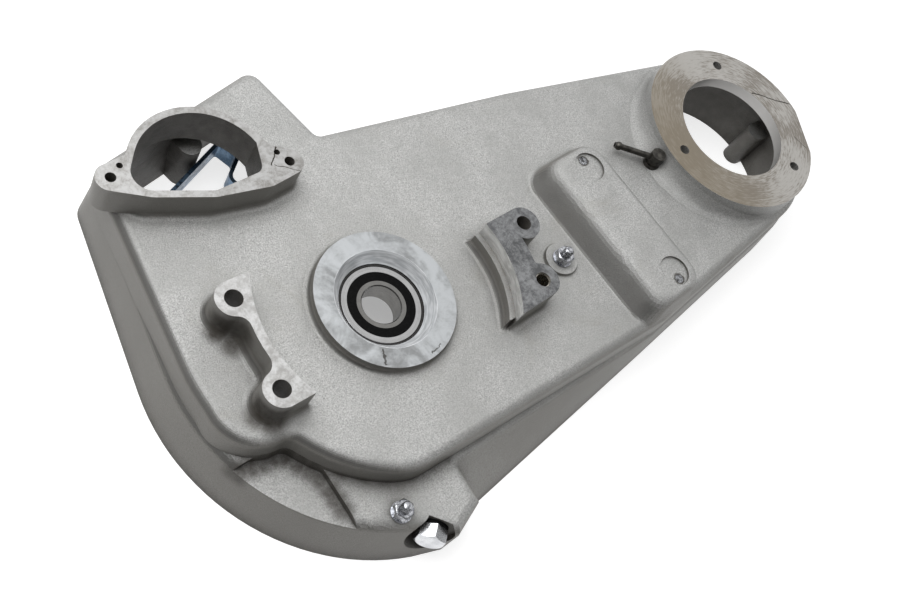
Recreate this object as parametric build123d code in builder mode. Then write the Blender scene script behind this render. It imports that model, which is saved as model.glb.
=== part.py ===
from build123d import *
from math import asin, atan2, cos, degrees, hypot, radians, sin, tan
import os

os.makedirs("parts", exist_ok=True)

# Inner half of a primary chain housing, in millimetres. The clutch shaft bearing is at the
# origin, +X points to the crankshaft opening and +Z to the engine and gearbox.

# Levels, measured from the gasket rim that meets the outer cover
shaft_distance = 326.0
housing_depth = 53.0
ledge_height = 35.0
boss_rise = 7.0
crank_rise = 15.7
mount_rise = 21.2
rack_rise = 14.0

# Cast walls
wall = 5.5
rim_width = 13.5
edge_radius = 7.0
edge_band = 8.0
foot_radius = 4.0
draft = 4.0
tiny = 0.01
ledge_wall = 7.0

# Outline of the main face
clutch_end_radius = 130.3
crank_end_radius = 72.7
left_lean = 8.0
back_angle = -7.3
back_bend = Vector(0.558 * shaft_distance, 98.1)
plate_tilt = 13.0
plate_corner = Vector(17.2, 176.1)
plate_corner_radius = 9.0
notch_fillet = 5.0
left_fillet = 13.0
toe_fillet = 30.0
step_in_fillet = 8.0
step_out_fillet = 40.0
toe_corner = Vector(-131, -42)
belly_corner = Vector(180, -94.5)
notch_radius = 105.0
notch_start = 205.5
notch_end = 247.5

# Skirt, from the ledge down to the gasket rim
ledge_margin = 1.6
ledge_radius = 8.0
ledge_lean = 9.5
ledge_end = 247.0
rim_margin = 5.0
rim_flare = 9.0
rim_lean = 12.2
rim_end = 250.0
rim_belly_angle = 8.6
rim_bow = 0.5
sump_corner = Vector(-28.9, -clutch_end_radius - 8.0)
crease = sump_corner + Vector(23.9, 38.8)
crease_step = 1.0
pocket_x = -82.0
pocket_depth = 4.8
pocket_size = 80.0

# Screw bosses round the inside of the rim
rim_screw_count = 13
rim_screw_inset = 19.0
rim_screw_phase = 0.345
rim_boss_radius = 7.5
rim_screw_radius = 2.55
rim_screw_depth = 20.0

# Clutch shaft bearing and its boss
bearing_bore = 25.0
bearing_diameter = 52.0
bearing_width = 15.0
inner_land = 15.8
outer_land = 21.3
seal_radius = 21.9
seal_thickness = 1.2
seal_recess = 0.2
seal_gap = 0.1
ball_radius = 3.97
ball_count = 9
ball_gap = 0.02
race_radius = 4.13
bearing_chamfer = 0.6
cage_thickness = 2.4
cage_width = 10.0
cage_gap = 0.08
boss_radius = 45.1
boss_recess = 8.3
boss_mouth_radius = 32.5
seat_margin = 0.8
hub_radius = 35.0
hub_lip = 2.6
ring_thickness = 2.0
ring_width = 4.2
ring_groove_depth = 1.5
ring_gap_angle = 24.0
hub_rib_count = 6
hub_rib_length = 34.0
hub_rib_width = 5.0
hub_rib_height = 8.0

# Crankshaft opening
crank_bore_radius = 42.1
crank_ring_radius = crank_end_radius - 4.4
crank_flat_offset = crank_ring_radius - 2.5
crank_flat_angle = -25.0
crank_lip = 9.2
crank_core_radius = crank_ring_radius - 8.3
crank_bolt_circle = crank_bore_radius + crank_ring_radius
crank_bolt_radius = 3.7
crank_bolt_angle = 60.0
crank_bolt_count = 3

# Starter opening, a D-shaped tower with an ear at each end
tower_centre = Vector(-63.5, 110.5)
tower_radius = 44.4
tower_wall = 4.4
tower_lobes = ((Vector(-91.5, 121), 16.3), (Vector(-62, 105), 12.5), (Vector(-30, 102), 15.3))
tower_window_end = (Vector(-35, 104.3), 10.9)
tower_arc_start = 8.0
tower_arc_sweep = 132.0
left_ear = Vector(-114.3, 126.7)
right_ear = Vector(-11.9, 97.5)
ear_radius = 8.8
ear_hole_radius = 3.2
ear_hole_depth = 18.0
ear_depth = 22.0
pin_hole_radius = 1.9
pin_hole_depth = 9.0
left_pin = Vector(-106.0, 131.6)
right_pin = Vector(-15.8, 105.8)

# Gearbox mounting pads, each an arc about the bearing with two lobes
left_pad_holes = (Vector(-90.9, 33.9), Vector(-95.8, -23.7))
left_pad_span = (149.8, 202.5)
left_pad_radius = 11.0
left_pad_arc = 86.3
left_pad_bar = 5.7
left_pad_blend = 8.0
left_hole_radius = 5.5
right_pad_holes = (Vector(107.4, 1.2), Vector(94.2, -36.9))
right_pad_span = (6.9, -36.0)
right_pad_radius = 11.3
right_pad_arc = 83.0
right_pad_bar = 16.5
right_pad_blend = 3.0
right_pad_step = 4.0
right_pad_machined = 11.0
right_hole_radius = 5.0
right_hole_depth = 22.0
pad_tip_radius = 1.2
insert_wall = 0.6
insert_length = 16.0
insert_recess = 1.5

# Raised pad for the chain tensioner, with the serrated anchor in the pocket behind it
rack_centre = Vector(0.589 * shaft_distance, -26.4)
rack_tilt = 4.4
rack_pad_length = 120.0
rack_pad_width = 38.0
rack_pad_corner = 14.0
rack_foot = 5.0
# Shape of the raised pad: share of its rise, reach on the clutch side, on the far side and
# at its ends
rack_sections = (
    (0.0, 22.5, 0.0, 4.5),
    (0.5, 15.0, 0.0, 2.5),
    (0.75, 10.8, -0.6, 1.5),
    (0.9, 6.8, -1.8, 0.2),
    (0.975, 3.0, -3.4, -1.4),
    (1.0, -2.0, -6.0, -3.4),
)
dimple_spacing = 90.2
dimple_radius = 11.0
dimple_depth = 1.5
rack_screw_spacing = 102.4
rack_screw_radius = 3.0
rack_hole_gap = 0.2
rack_screw_head_radius = 4.5
rack_screw_head = 4.0
rack_pocket_width = 26.0
rack_pocket_length = 112.0
rack_pocket_corner = 9.0
rack_roof = 7.0
rack_thickness = 5.0
rack_gap = 1.5
rack_tooth_pitch = 4.0
rack_tooth_depth = 1.6
rack_tooth_count = 20

# Studs with a nut outside, one on the sump ledge and one on the main face
sump_stud_place = sump_corner + Vector(-27.1, 28.3)
face_stud_place = Vector(0.403 * shaft_distance, -26.5)
face_stud_boss_radius = 11.3
face_stud_boss_rise = 2.5
face_stud_foot = 2.0
stud_radius = 3.3
stud_depth = 12.0
stud_end = 5.0
stud_boss_radius = 7.5
stud_boss_floor = 3.0
nut_flats = 11.0
nut_height = 6.0
hexagon_crown = 0.94
hexagon_chamfer = 30.0
washer_radius = 6.6
washer_height = 1.0

# Drain plug in the sump, screwed in sideways
plug_seat = sump_corner + Vector(-8.1, 13.3)
plug_z = -21.2
plug_angle = 221.0
plug_flats = 17.0
plug_head = 9.0
plug_radius = 6.0
plug_length = 12.0
plug_seal_radius = 9.5
plug_seal_thickness = 2.0
scoop_radius = 14.0
scoop_length = 40.0
scoop_wall = 3.0
plug_boss_reach = 8.0

# Vent hose fitting
hose_place = Vector(shaft_distance - 74.7, 6.0)
hose_target = hose_place + Vector(-22.3, 19.5)
hose_body_radius = 5.25
hose_body_height = 12.0
hose_base_radius = 6.2
hose_base_height = 3.0
hose_seat_gap = 0.1
hose_shank_radius = 4.0
hose_shank_reach = 3.0
hose_nipple_radius = 2.15
hose_nipple_bore = 1.2
hose_bead_radius = 3.0
hose_nipple_height = 5.0

# Bent strap behind the starter opening, on edge between two lugs
strap_points = ((-104, 110), (-16.4, 148.4), (-10.7, 134.5), (-25.5, 122.4), (-12, 103.1))
strap_bends = (3, 4, 6)
strap_thickness = 2.5
strap_height = 14.0
strap_top = -19.2
lug_length = 12.0
wall_lug_length = 30.0
lug_width = 8.0
strap_screw_radius = 2.0
strap_screw_head_radius = 4.0
strap_screw_head = 2.5
strap_screw_length = 8.0

# Levels from the bearing's middle
boss_z = bearing_width / 2 + boss_recess
face_z = boss_z - boss_rise
rim_z = face_z - housing_depth
ledge_z = rim_z + ledge_height
crank_z = face_z + crank_rise
mount_z = face_z + mount_rise
rack_z = face_z + rack_rise
ceiling_z = face_z - wall
ring_z = -bearing_width / 2 - ring_thickness
hub_z = ring_z - hub_lip
crank_axis = Vector(shaft_distance, 0)
seat_radius = bearing_diameter / 2


def on_circle(radius, angle, centre=Vector(0, 0)):
    """Point at an angle in degrees on a circle."""
    return centre + Vector(radius * cos(radians(angle)), radius * sin(radians(angle)))


def meet(p, p_angle, q, q_angle):
    """Point where two lines cross, each given by a point and its angle."""
    a = on_circle(1, p_angle)
    b = on_circle(1, q_angle)
    along = ((q.X - p.X) * b.Y - (q.Y - p.Y) * b.X) / (a.X * b.Y - a.Y * b.X)
    return p + a * along


def tangent_angle(point, radius, side=1):
    """Angle of the line from a point to the crank end's circle: 1 for its underside, -1 for its top."""
    across = crank_axis.X - point.X
    down = -point.Y
    return degrees(atan2(down, across)) - side * degrees(asin(radius / hypot(across, down)))


crank_back_angle = tangent_angle(back_bend, crank_end_radius, -1)


def back_corners(margin, left_angle, radius):
    """Corners of the far side, from the crank end round to the clutch end's arc."""
    start = on_circle(radius, 180 - left_angle)
    high = on_circle(crank_end_radius + margin, 90 + crank_back_angle, crank_axis)
    back = back_bend + Vector(0, margin / cos(radians(back_angle)))
    corner = plate_corner + Vector(margin, margin).rotate(Axis.Z, plate_tilt)
    bend = meet(high, crank_back_angle, back, back_angle)
    notch = meet(back, back_angle, corner, plate_tilt - 90)
    left = meet(corner, plate_tilt, start, 90 - left_angle)
    return [high, bend, notch, corner, left, start]


def outline(margin, radius, lean, arc_end, lower_points, lower_angle):
    """Housing outline: clutch end arc, lower points, crank end arc and far side."""
    corners = back_corners(margin, lean, radius)
    end_radius = crank_end_radius + margin
    stop = on_circle(radius, arc_end)
    low = on_circle(end_radius, lower_angle - 90, crank_axis)
    with BuildSketch() as profile:
        with BuildLine():
            CenterArc((0, 0), radius, 180 - lean, arc_end - 180 + lean)
            Polyline(stop, *lower_points, low)
            CenterArc(crank_axis, end_radius, lower_angle - 90, 180 + crank_back_angle - lower_angle)
            Polyline(*corners)
        make_face()
        rounded = ((corners[2], notch_fillet), (corners[3], plate_corner_radius), (corners[4], left_fillet))
        for point, corner_radius in rounded:
            fillet(profile.vertices().sort_by_distance(point)[0], corner_radius)
    return profile.sketch


def face_outline():
    """Outline of the main face, whose lower left steps in round the clutch arc."""
    corners = back_corners(0, left_lean, clutch_end_radius)
    side_angle = left_lean / 2
    step_in = on_circle(notch_radius, notch_start)
    step_out = on_circle(notch_radius, notch_end)
    lower_angle = tangent_angle(belly_corner, crank_end_radius)
    with BuildSketch() as profile:
        with BuildLine():
            CenterArc((0, 0), clutch_end_radius, 180 - left_lean, left_lean + side_angle)
            Polyline(on_circle(clutch_end_radius, 180 + side_angle), toe_corner, step_in)
            CenterArc((0, 0), notch_radius, notch_start, notch_end - notch_start)
            Polyline(step_out, belly_corner, on_circle(crank_end_radius, lower_angle - 90, crank_axis))
            CenterArc(
                crank_axis, crank_end_radius,
                lower_angle - 90, 180 + crank_back_angle - lower_angle,
            )
            Polyline(*corners)
        make_face()
        rounded = (
            (corners[2], notch_fillet), (corners[3], plate_corner_radius), (corners[4], left_fillet),
            (toe_corner, toe_fillet), (step_in, step_in_fillet), (step_out, step_out_fillet),
        )
        for point, corner_radius in rounded:
            fillet(profile.vertices().sort_by_distance(point)[0], corner_radius)
    return profile.sketch


def on_rim_line(x, inset=0.0):
    """Point on the rim's lower line, which bows out a little, or that far inside it."""
    low = on_circle(crank_end_radius + rim_margin - inset, rim_belly_angle - 90, crank_axis)
    along = (low.X - x) / (low.X - crease.X)
    bow = 4 * rim_bow * along * (1 - along)
    return Vector(x, low.Y + (x - low.X) * tan(radians(rim_belly_angle)) - bow)


def rim_outline(inset=0.0):
    """Outline of the gasket rim, or the same outline that far inside it."""
    lower_points = [
        sump_corner + Vector(0, inset),
        on_rim_line(crease.X - crease_step - inset, inset),
        on_rim_line(crease.X + crease_step - inset, inset),
        on_rim_line(belly_corner.X, inset),
    ]
    radius = clutch_end_radius + ledge_margin + rim_flare - inset
    return outline(rim_margin - inset, radius, rim_lean, rim_end, lower_points, rim_belly_angle)


def ledge_outline(inset=0.0):
    """Outline at the ledge, where the lower wall steps in beside the sump."""
    margin = ledge_margin - inset
    belly = belly_corner - Vector(0, margin)
    lower_points = [
        sump_corner + Vector(0, inset),
        on_rim_line(crease.X - crease_step - inset, inset),
        crease + Vector(-inset, inset),
        belly,
    ]
    lower_angle = tangent_angle(belly, crank_end_radius + margin)
    return outline(margin, clutch_end_radius + margin, ledge_lean, ledge_end, lower_points, lower_angle)


def hull_of(circles):
    """Outline stretched round a set of circles, each given by its centre and radius."""
    with BuildSketch() as profile:
        with BuildLine():
            for centre, radius in circles:
                CenterArc(centre, radius, 0, 360)
        make_hull()
    return profile.sketch


def tower_outline(inset, lobes):
    """The tower's D shape: a round back closed by a hull of lobes along the front."""
    with BuildSketch() as profile:
        with BuildLine():
            CenterArc(tower_centre, tower_radius - inset, tower_arc_start, tower_arc_sweep)
            for centre, radius in lobes:
                CenterArc(centre, radius - inset, 0, 360)
        make_hull()
    return profile.sketch


def mount_pad(holes, lobe_radius, span, arc_radius, bar, blend):
    """Gearbox pad: an arc about the bearing with a lobe round each hole, blended into it."""
    tips = [on_circle(arc_radius, angle) for angle in span]
    between = (holes[0] + holes[1]).normalized() * (arc_radius + bar)
    with BuildSketch() as profile:
        with BuildLine():
            Polyline(tips[0], *holes, tips[1], close=True)
        make_face()
        Circle(arc_radius + bar, mode=Mode.INTERSECT)
        for hole, tip in zip(holes, tips):
            add(hull_of(((hole, lobe_radius), (tip, pad_tip_radius))))
        Circle(arc_radius, mode=Mode.SUBTRACT)
        fillet(profile.vertices().sort_by_distance(between)[:2], blend)
    return profile.sketch


def rack_plane(z):
    """Plane of the raised pad at a height, with its length along Y."""
    return Plane(origin=(rack_centre.X, rack_centre.Y, z), z_dir=(0, 0, 1)).rotated((0, 0, rack_tilt))


rim = rim_outline()
ledge = ledge_outline()
face = face_outline()
plug_plane = Plane(
    origin=(plug_seat.X, plug_seat.Y, plug_z),
    x_dir=(0, 0, 1),
    z_dir=on_circle(1, plug_angle),
)


def hexagon(flats, height):
    """Upright hexagonal prism from the origin, its upper corners turned off."""
    crown_radius = hexagon_crown * flats / 2
    with BuildPart() as piece:
        with BuildSketch():
            RegularPolygon(flats / 2, 6, major_radius=False)
        extrude(amount=height)
        Cone(
            crown_radius + height / tan(radians(hexagon_chamfer)), crown_radius, height,
            align=(Align.CENTER, Align.CENTER, Align.MIN), mode=Mode.INTERSECT,
        )
    return piece.part


def foot_edges(edges):
    """Edges where something stands on the main face or its rounded edge."""
    return edges.filter_by(
        lambda edge: edge.bounding_box().max.Z < face_z + tiny
        and edge.bounding_box().min.Z > face_z - edge_radius
    )


def strap_lug(end, next_point):
    """Plane at the middle of the lug that holds a strap end, its X along the strap."""
    along = (Vector(next_point) - Vector(end)).normalized()
    across = along.rotate(Axis.Z, -90) * (strap_thickness + lug_width) / 2
    middle = Vector(end) + along * lug_length / 2 + across
    return Plane(origin=(middle.X, middle.Y, strap_top - strap_height), x_dir=along, z_dir=(0, 0, 1))


def strap_seat(lug):
    """Plane of the lug's face that the strap lies on, its Z pointing into the lug."""
    origin = lug.origin + lug.y_dir * lug_width / 2 + Vector(0, 0, strap_height / 2)
    return Plane(origin=origin, x_dir=lug.x_dir, z_dir=-lug.y_dir)


strap_lugs = [
    strap_lug(strap_points[0], strap_points[1]),
    strap_lug(strap_points[-1], strap_points[-2]),
]
stud_seats = {
    "sump": (sump_stud_place, ledge_z),
    "face": (face_stud_place, face_z + face_stud_boss_rise),
}
rim_screw_line = rim_outline(rim_screw_inset).wire()
rim_screws = [
    rim_screw_line.position_at((i + rim_screw_phase) / rim_screw_count)
    for i in range(rim_screw_count)
]
rim_screw_roots = [rim.wire().closest_points(screw)[0] for screw in rim_screws]

# Flared skirt of the housing
with BuildPart() as skirt:
    with BuildSketch(Plane.XY.offset(rim_z)):
        add(rim)
    with BuildSketch(Plane.XY.offset(ledge_z)):
        add(ledge)
    loft(ruled=True)
    fillet(skirt.faces().sort_by(Axis.Z)[-1].edges(), ledge_radius)
    with BuildSketch(Plane.XY.offset(ledge_z)):
        with Locations((pocket_x, toe_corner.Y)):
            Rectangle(pocket_size, pocket_size, align=(Align.MAX, Align.MAX))
    extrude(amount=-pocket_depth, mode=Mode.SUBTRACT)

# Main face with its rounded edge and drafted walls
with BuildPart() as crown:
    with BuildSketch(Plane.XY.offset(face_z - edge_band)):
        add(face)
    extrude(amount=edge_band)
    fillet(crown.faces().sort_by(Axis.Z)[-1].edges(), edge_radius)
    with BuildSketch(Plane.XY.offset(face_z - edge_band)):
        add(face)
    extrude(amount=-(face_z - edge_band - ledge_z + pocket_depth), taper=-draft)

# Raised pad over the chain tensioner's anchor, its clutch side sloping
with BuildPart() as rack_pad:
    for share, near, far, end in ((-wall / rack_rise, *rack_sections[0][1:]), *rack_sections):
        with BuildSketch(rack_plane(face_z + share * rack_rise)):
            with Locations(((far - near) / 2, 0)):
                RectangleRounded(rack_pad_width + near + far, rack_pad_length + 2 * end, rack_pad_corner)
    loft()

# Everything outside the walls, still solid
with BuildPart() as casting:
    add(skirt.part)
    add(crown.part)
    with BuildSketch(Plane.XY.offset(ceiling_z)):
        add(tower_outline(0, tower_lobes))
        add(hull_of((tower_lobes[-1], (right_ear, ear_radius))))
    extrude(amount=mount_z - ceiling_z)
    fillet(foot_edges(casting.edges(Select.LAST)), foot_radius)
    with BuildSketch(Plane.XY.offset(mount_z)):
        add(hull_of((tower_lobes[0], (left_ear, ear_radius))))
    extrude(amount=-ear_depth)
    with BuildSketch(Plane.XY.offset(ceiling_z)):
        add(mount_pad(
            left_pad_holes, left_pad_radius, left_pad_span,
            left_pad_arc, left_pad_bar, left_pad_blend,
        ))
    extrude(amount=mount_z - ceiling_z)
    with BuildSketch(Plane.XY.offset(ceiling_z)):
        add(mount_pad(
            right_pad_holes, right_pad_radius, right_pad_span,
            right_pad_arc - right_pad_step, right_pad_bar + right_pad_step, right_pad_blend,
        ))
    extrude(amount=mount_z - right_pad_machined - ceiling_z)
    with BuildSketch(Plane.XY.offset(ceiling_z)):
        add(mount_pad(
            right_pad_holes, right_pad_radius, right_pad_span,
            right_pad_arc, right_pad_bar, right_pad_blend,
        ))
    extrude(amount=mount_z - ceiling_z)
    with BuildSketch(Plane.XY.offset(ceiling_z)):
        Circle(boss_radius)
    extrude(amount=boss_z - ceiling_z)
    fillet(foot_edges(casting.edges(Select.LAST)), foot_radius)
    with BuildSketch(Plane.XY.offset(ceiling_z)):
        with Locations(face_stud_place):
            Circle(face_stud_boss_radius)
    extrude(amount=face_z + face_stud_boss_rise - ceiling_z)
    fillet(foot_edges(casting.edges(Select.LAST)), face_stud_foot)
    with BuildSketch(Plane.XY.offset(ceiling_z)):
        with Locations(crank_axis):
            Circle(crank_ring_radius)
        flat_middle = on_circle(crank_flat_offset, crank_flat_angle, crank_axis)
        with Locations(Location(flat_middle, (0, 0, crank_flat_angle))):
            Rectangle(
                crank_ring_radius, 2 * crank_ring_radius,
                align=(Align.MIN, Align.CENTER), mode=Mode.SUBTRACT,
            )
    extrude(amount=crank_z - ceiling_z)
    fillet(foot_edges(casting.edges(Select.LAST)), foot_radius)
    add(rack_pad.part)
    fillet(foot_edges(casting.edges(Select.LAST)), rack_foot)

# Hollow of the pan, open at the rim
with BuildPart() as cavity:
    with BuildSketch(Plane.XY.offset(rim_z)):
        add(rim_outline(rim_width))
    with BuildSketch(Plane.XY.offset(ledge_z - wall)):
        add(ledge_outline(ledge_wall))
    loft(ruled=True)
    with BuildSketch(Plane.XY.offset(ledge_z - wall)):
        add(face)
        offset(amount=-wall)
        add(ledge_outline(ledge_wall), mode=Mode.INTERSECT)
    extrude(amount=ceiling_z - ledge_z + wall)

# Bosses, hub, ribs and lugs inside the pan
with BuildPart() as inside:
    with BuildSketch(Plane.XY.offset(rim_z)):
        for screw, root in zip(rim_screws, rim_screw_roots):
            add(hull_of(((screw, rim_boss_radius), (root, rim_boss_radius))))
    extrude(amount=ledge_height)
    with BuildSketch(Plane.XY.offset(hub_z)):
        Circle(hub_radius)
    extrude(amount=face_z - hub_z)
    with BuildSketch(Plane.XY.offset(ceiling_z - hub_rib_height)):
        with PolarLocations(hub_radius + hub_rib_length / 2, hub_rib_count):
            Rectangle(hub_rib_length + wall, hub_rib_width)
    extrude(amount=hub_rib_height + wall / 2)
    for lug, length in zip(strap_lugs, (wall_lug_length, lug_length)):
        with BuildSketch(lug):
            with Locations((lug_length / 2, 0)):
                Rectangle(length, lug_width, align=(Align.MAX, Align.CENTER))
        extrude(amount=strap_height + face_z - strap_top)
    with BuildSketch(plug_plane.offset(plug_boss_reach)):
        Circle(scoop_radius + scoop_wall)
    extrude(amount=-plug_boss_reach - plug_length)
    for place, seat_z in stud_seats.values():
        with BuildSketch(Plane.XY.offset(seat_z)):
            with Locations(place):
                Circle(stud_boss_radius)
        extrude(amount=-stud_depth - stud_boss_floor)
    add(casting.part, mode=Mode.INTERSECT)

# Housing, one casting machined at its bores, rim and pads
with BuildPart() as housing:
    add(casting.part)
    add(cavity.part, mode=Mode.SUBTRACT)
    add(inside.part)
    with BuildSketch(Plane.XY.offset(rim_z)):
        with Locations(*rim_screws):
            Circle(rim_screw_radius)
    extrude(amount=rim_screw_depth, mode=Mode.SUBTRACT)
    with BuildSketch(Plane.XZ):
        with BuildLine():
            Polyline(
                (0, hub_z), (seat_radius, hub_z), (seat_radius, ring_z),
                (seat_radius + ring_groove_depth, ring_z),
                (seat_radius + ring_groove_depth, ring_z + ring_thickness),
                (seat_radius, ring_z + ring_thickness), (seat_radius, bearing_width / 2),
                (seat_radius + seat_margin, bearing_width / 2), (boss_mouth_radius, boss_z), (0, boss_z),
                close=True,
            )
        make_face()
    revolve(axis=Axis.Z, mode=Mode.SUBTRACT)
    with BuildSketch(Plane.XY.offset(ceiling_z)):
        with Locations(crank_axis):
            Circle(crank_core_radius)
    extrude(amount=crank_z - crank_lip - ceiling_z, mode=Mode.SUBTRACT)
    with BuildSketch(Plane.XY.offset(crank_z)):
        with Locations(crank_axis):
            Circle(crank_bore_radius)
            with PolarLocations(crank_bolt_circle / 2, crank_bolt_count, start_angle=crank_bolt_angle):
                Circle(crank_bolt_radius)
    extrude(amount=-crank_lip, mode=Mode.SUBTRACT)
    with BuildSketch(Plane.XY.offset(mount_z)):
        add(tower_outline(tower_wall, (*tower_lobes[:-1], tower_window_end)))
    extrude(amount=ceiling_z - mount_z, mode=Mode.SUBTRACT)
    with BuildSketch(Plane.XY.offset(mount_z)):
        with Locations(left_ear, right_ear):
            Circle(ear_hole_radius)
    extrude(amount=-ear_hole_depth, mode=Mode.SUBTRACT)
    with BuildSketch(Plane.XY.offset(mount_z)):
        with Locations(left_pin, right_pin):
            Circle(pin_hole_radius)
    extrude(amount=-pin_hole_depth, mode=Mode.SUBTRACT)
    with BuildSketch(Plane.XY.offset(mount_z)):
        with Locations(*left_pad_holes):
            Circle(left_hole_radius)
    extrude(amount=ceiling_z - mount_z, mode=Mode.SUBTRACT)
    with BuildSketch(Plane.XY.offset(mount_z)):
        with Locations(*right_pad_holes):
            Circle(right_hole_radius)
    extrude(amount=-right_hole_depth, mode=Mode.SUBTRACT)
    with BuildSketch(rack_plane(ceiling_z)):
        RectangleRounded(rack_pocket_width, rack_pocket_length, rack_pocket_corner)
    extrude(amount=rack_z - rack_roof - ceiling_z, mode=Mode.SUBTRACT)
    with BuildSketch(rack_plane(rack_z - dimple_depth)):
        with GridLocations(0, dimple_spacing, 1, 2):
            Circle(dimple_radius)
    extrude(amount=dimple_depth, mode=Mode.SUBTRACT)
    with BuildSketch(rack_plane(rack_z)):
        with GridLocations(0, rack_screw_spacing, 1, 2):
            Circle(rack_screw_radius + rack_hole_gap)
    extrude(amount=-rack_roof, mode=Mode.SUBTRACT)
    with BuildSketch(plug_plane):
        Circle(scoop_radius)
    extrude(amount=scoop_length, mode=Mode.SUBTRACT)
    with BuildSketch(plug_plane):
        Circle(plug_radius)
    extrude(amount=-plug_length - plug_boss_reach, mode=Mode.SUBTRACT)
    for place, seat_z in stud_seats.values():
        with BuildSketch(Plane.XY.offset(seat_z)):
            with Locations(place):
                Circle(stud_radius)
        extrude(amount=-stud_depth, mode=Mode.SUBTRACT)
    with BuildSketch(Plane.XY.offset(face_z)):
        with Locations(hose_place):
            Circle(hose_base_radius + hose_seat_gap)
    extrude(amount=foot_radius, mode=Mode.SUBTRACT)
    with BuildSketch(Plane.XY.offset(ceiling_z)):
        with Locations(hose_place):
            Circle(hose_shank_radius)
    extrude(amount=wall, mode=Mode.SUBTRACT)
    for lug in strap_lugs:
        with BuildSketch(strap_seat(lug)):
            Circle(strap_screw_radius)
        extrude(amount=strap_screw_length, mode=Mode.SUBTRACT)

housing.part.label = "housing"
export_step(housing.part, "parts/housing.step")

# Bearing, pressed into the hub and sealed on both faces
pitch_radius = (bearing_bore + bearing_diameter) / 4
half_width = bearing_width / 2
radial = (0, 90, 0)
with BuildPart() as bearing_outer_ring:
    Cylinder(seat_radius, bearing_width)
    Cylinder(outer_land, bearing_width, mode=Mode.SUBTRACT)
    for side in (1, -1):
        with Locations((0, 0, side * half_width)):
            Cylinder(seal_radius, 2 * (seal_thickness + seal_recess), mode=Mode.SUBTRACT)
    chamfer(bearing_outer_ring.edges().filter_by(GeomType.CIRCLE).group_by(SortBy.RADIUS)[-1], bearing_chamfer)
    Torus(pitch_radius + ball_radius + ball_gap - race_radius, race_radius, mode=Mode.SUBTRACT)
bearing_outer_ring.part.label = "bearing_outer_ring"
export_step(bearing_outer_ring.part, "parts/bearing_outer_ring.step")

with BuildPart() as bearing_inner_ring:
    Cylinder(inner_land, bearing_width)
    Cylinder(bearing_bore / 2, bearing_width, mode=Mode.SUBTRACT)
    chamfer(bearing_inner_ring.edges().filter_by(GeomType.CIRCLE).group_by(SortBy.RADIUS)[0], bearing_chamfer)
    Torus(pitch_radius - ball_radius - ball_gap + race_radius, race_radius, mode=Mode.SUBTRACT)
bearing_inner_ring.part.label = "bearing_inner_ring"
export_step(bearing_inner_ring.part, "parts/bearing_inner_ring.step")

with BuildPart() as bearing_balls:
    with PolarLocations(pitch_radius, ball_count):
        Sphere(ball_radius)
bearing_balls.part.label = "bearing_balls"
export_step(bearing_balls.part, "parts/bearing_balls.step")

with BuildPart() as bearing_cage:
    Cylinder(pitch_radius + cage_thickness / 2, cage_width)
    Cylinder(pitch_radius - cage_thickness / 2, cage_width, mode=Mode.SUBTRACT)
    with PolarLocations(pitch_radius, ball_count):
        Cylinder(ball_radius + cage_gap, 2 * cage_thickness, rotation=radial, mode=Mode.SUBTRACT)
bearing_cage.part.label = "bearing_cage"
export_step(bearing_cage.part, "parts/bearing_cage.step")

for name, side in (("bearing_seal_outer", 1), ("bearing_seal_inner", -1)):
    with BuildPart(Plane.XY.offset(side * (half_width - seal_recess - seal_thickness / 2))) as seal:
        Cylinder(seal_radius, seal_thickness)
        Cylinder(inner_land + seal_gap, seal_thickness, mode=Mode.SUBTRACT)
    seal.part.label = name
    export_step(seal.part, f"parts/{name}.step")

with BuildPart() as bearing_retaining_ring:
    with BuildSketch(Plane.XY.offset(ring_z)):
        Circle(seat_radius + ring_groove_depth)
        Circle(seat_radius + ring_groove_depth - ring_width, mode=Mode.SUBTRACT)
        with BuildLine(mode=Mode.PRIVATE) as gap:
            Polyline(
                (0, 0), on_circle(2 * seat_radius, -ring_gap_angle / 2),
                on_circle(2 * seat_radius, ring_gap_angle / 2), close=True,
            )
        make_face(gap.edges(), mode=Mode.SUBTRACT)
    extrude(amount=ring_thickness)
bearing_retaining_ring.part.label = "bearing_retaining_ring"
export_step(bearing_retaining_ring.part, "parts/bearing_retaining_ring.step")

# Drain plug with its sealing washer
with BuildPart() as drain_plug_seal:
    with BuildSketch(plug_plane):
        Circle(plug_seal_radius)
        Circle(plug_radius, mode=Mode.SUBTRACT)
    extrude(amount=plug_seal_thickness)
drain_plug_seal.part.label = "drain_plug_seal"
export_step(drain_plug_seal.part, "parts/drain_plug_seal.step")

with BuildPart() as drain_plug:
    with Locations(plug_plane.offset(plug_seal_thickness)):
        add(hexagon(plug_flats, plug_head))
    with BuildSketch(plug_plane.offset(plug_seal_thickness)):
        Circle(plug_radius)
    extrude(amount=-plug_seal_thickness - plug_length)
drain_plug.part.label = "drain_plug"
export_step(drain_plug.part, "parts/drain_plug.step")


def stud(place, seat_z):
    """Stud screwed into the casting, its end standing out of the nut."""
    with BuildPart() as piece:
        with BuildSketch(Plane.XY.offset(seat_z - stud_depth)):
            with Locations(place):
                Circle(stud_radius)
        extrude(amount=stud_depth + washer_height + nut_height + stud_end)
    return piece.part


def stud_nut(place, seat_z):
    """Hexagon nut with a washer face on the seat."""
    with BuildPart() as piece:
        with BuildSketch(Plane.XY.offset(seat_z)):
            with Locations(place):
                Circle(washer_radius)
                Circle(stud_radius, mode=Mode.SUBTRACT)
        extrude(amount=washer_height)
        with Locations((place.X, place.Y, seat_z + washer_height)):
            add(hexagon(nut_flats, nut_height))
            Cylinder(
                stud_radius, nut_height,
                align=(Align.CENTER, Align.CENTER, Align.MIN), mode=Mode.SUBTRACT,
            )
    return piece.part


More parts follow.
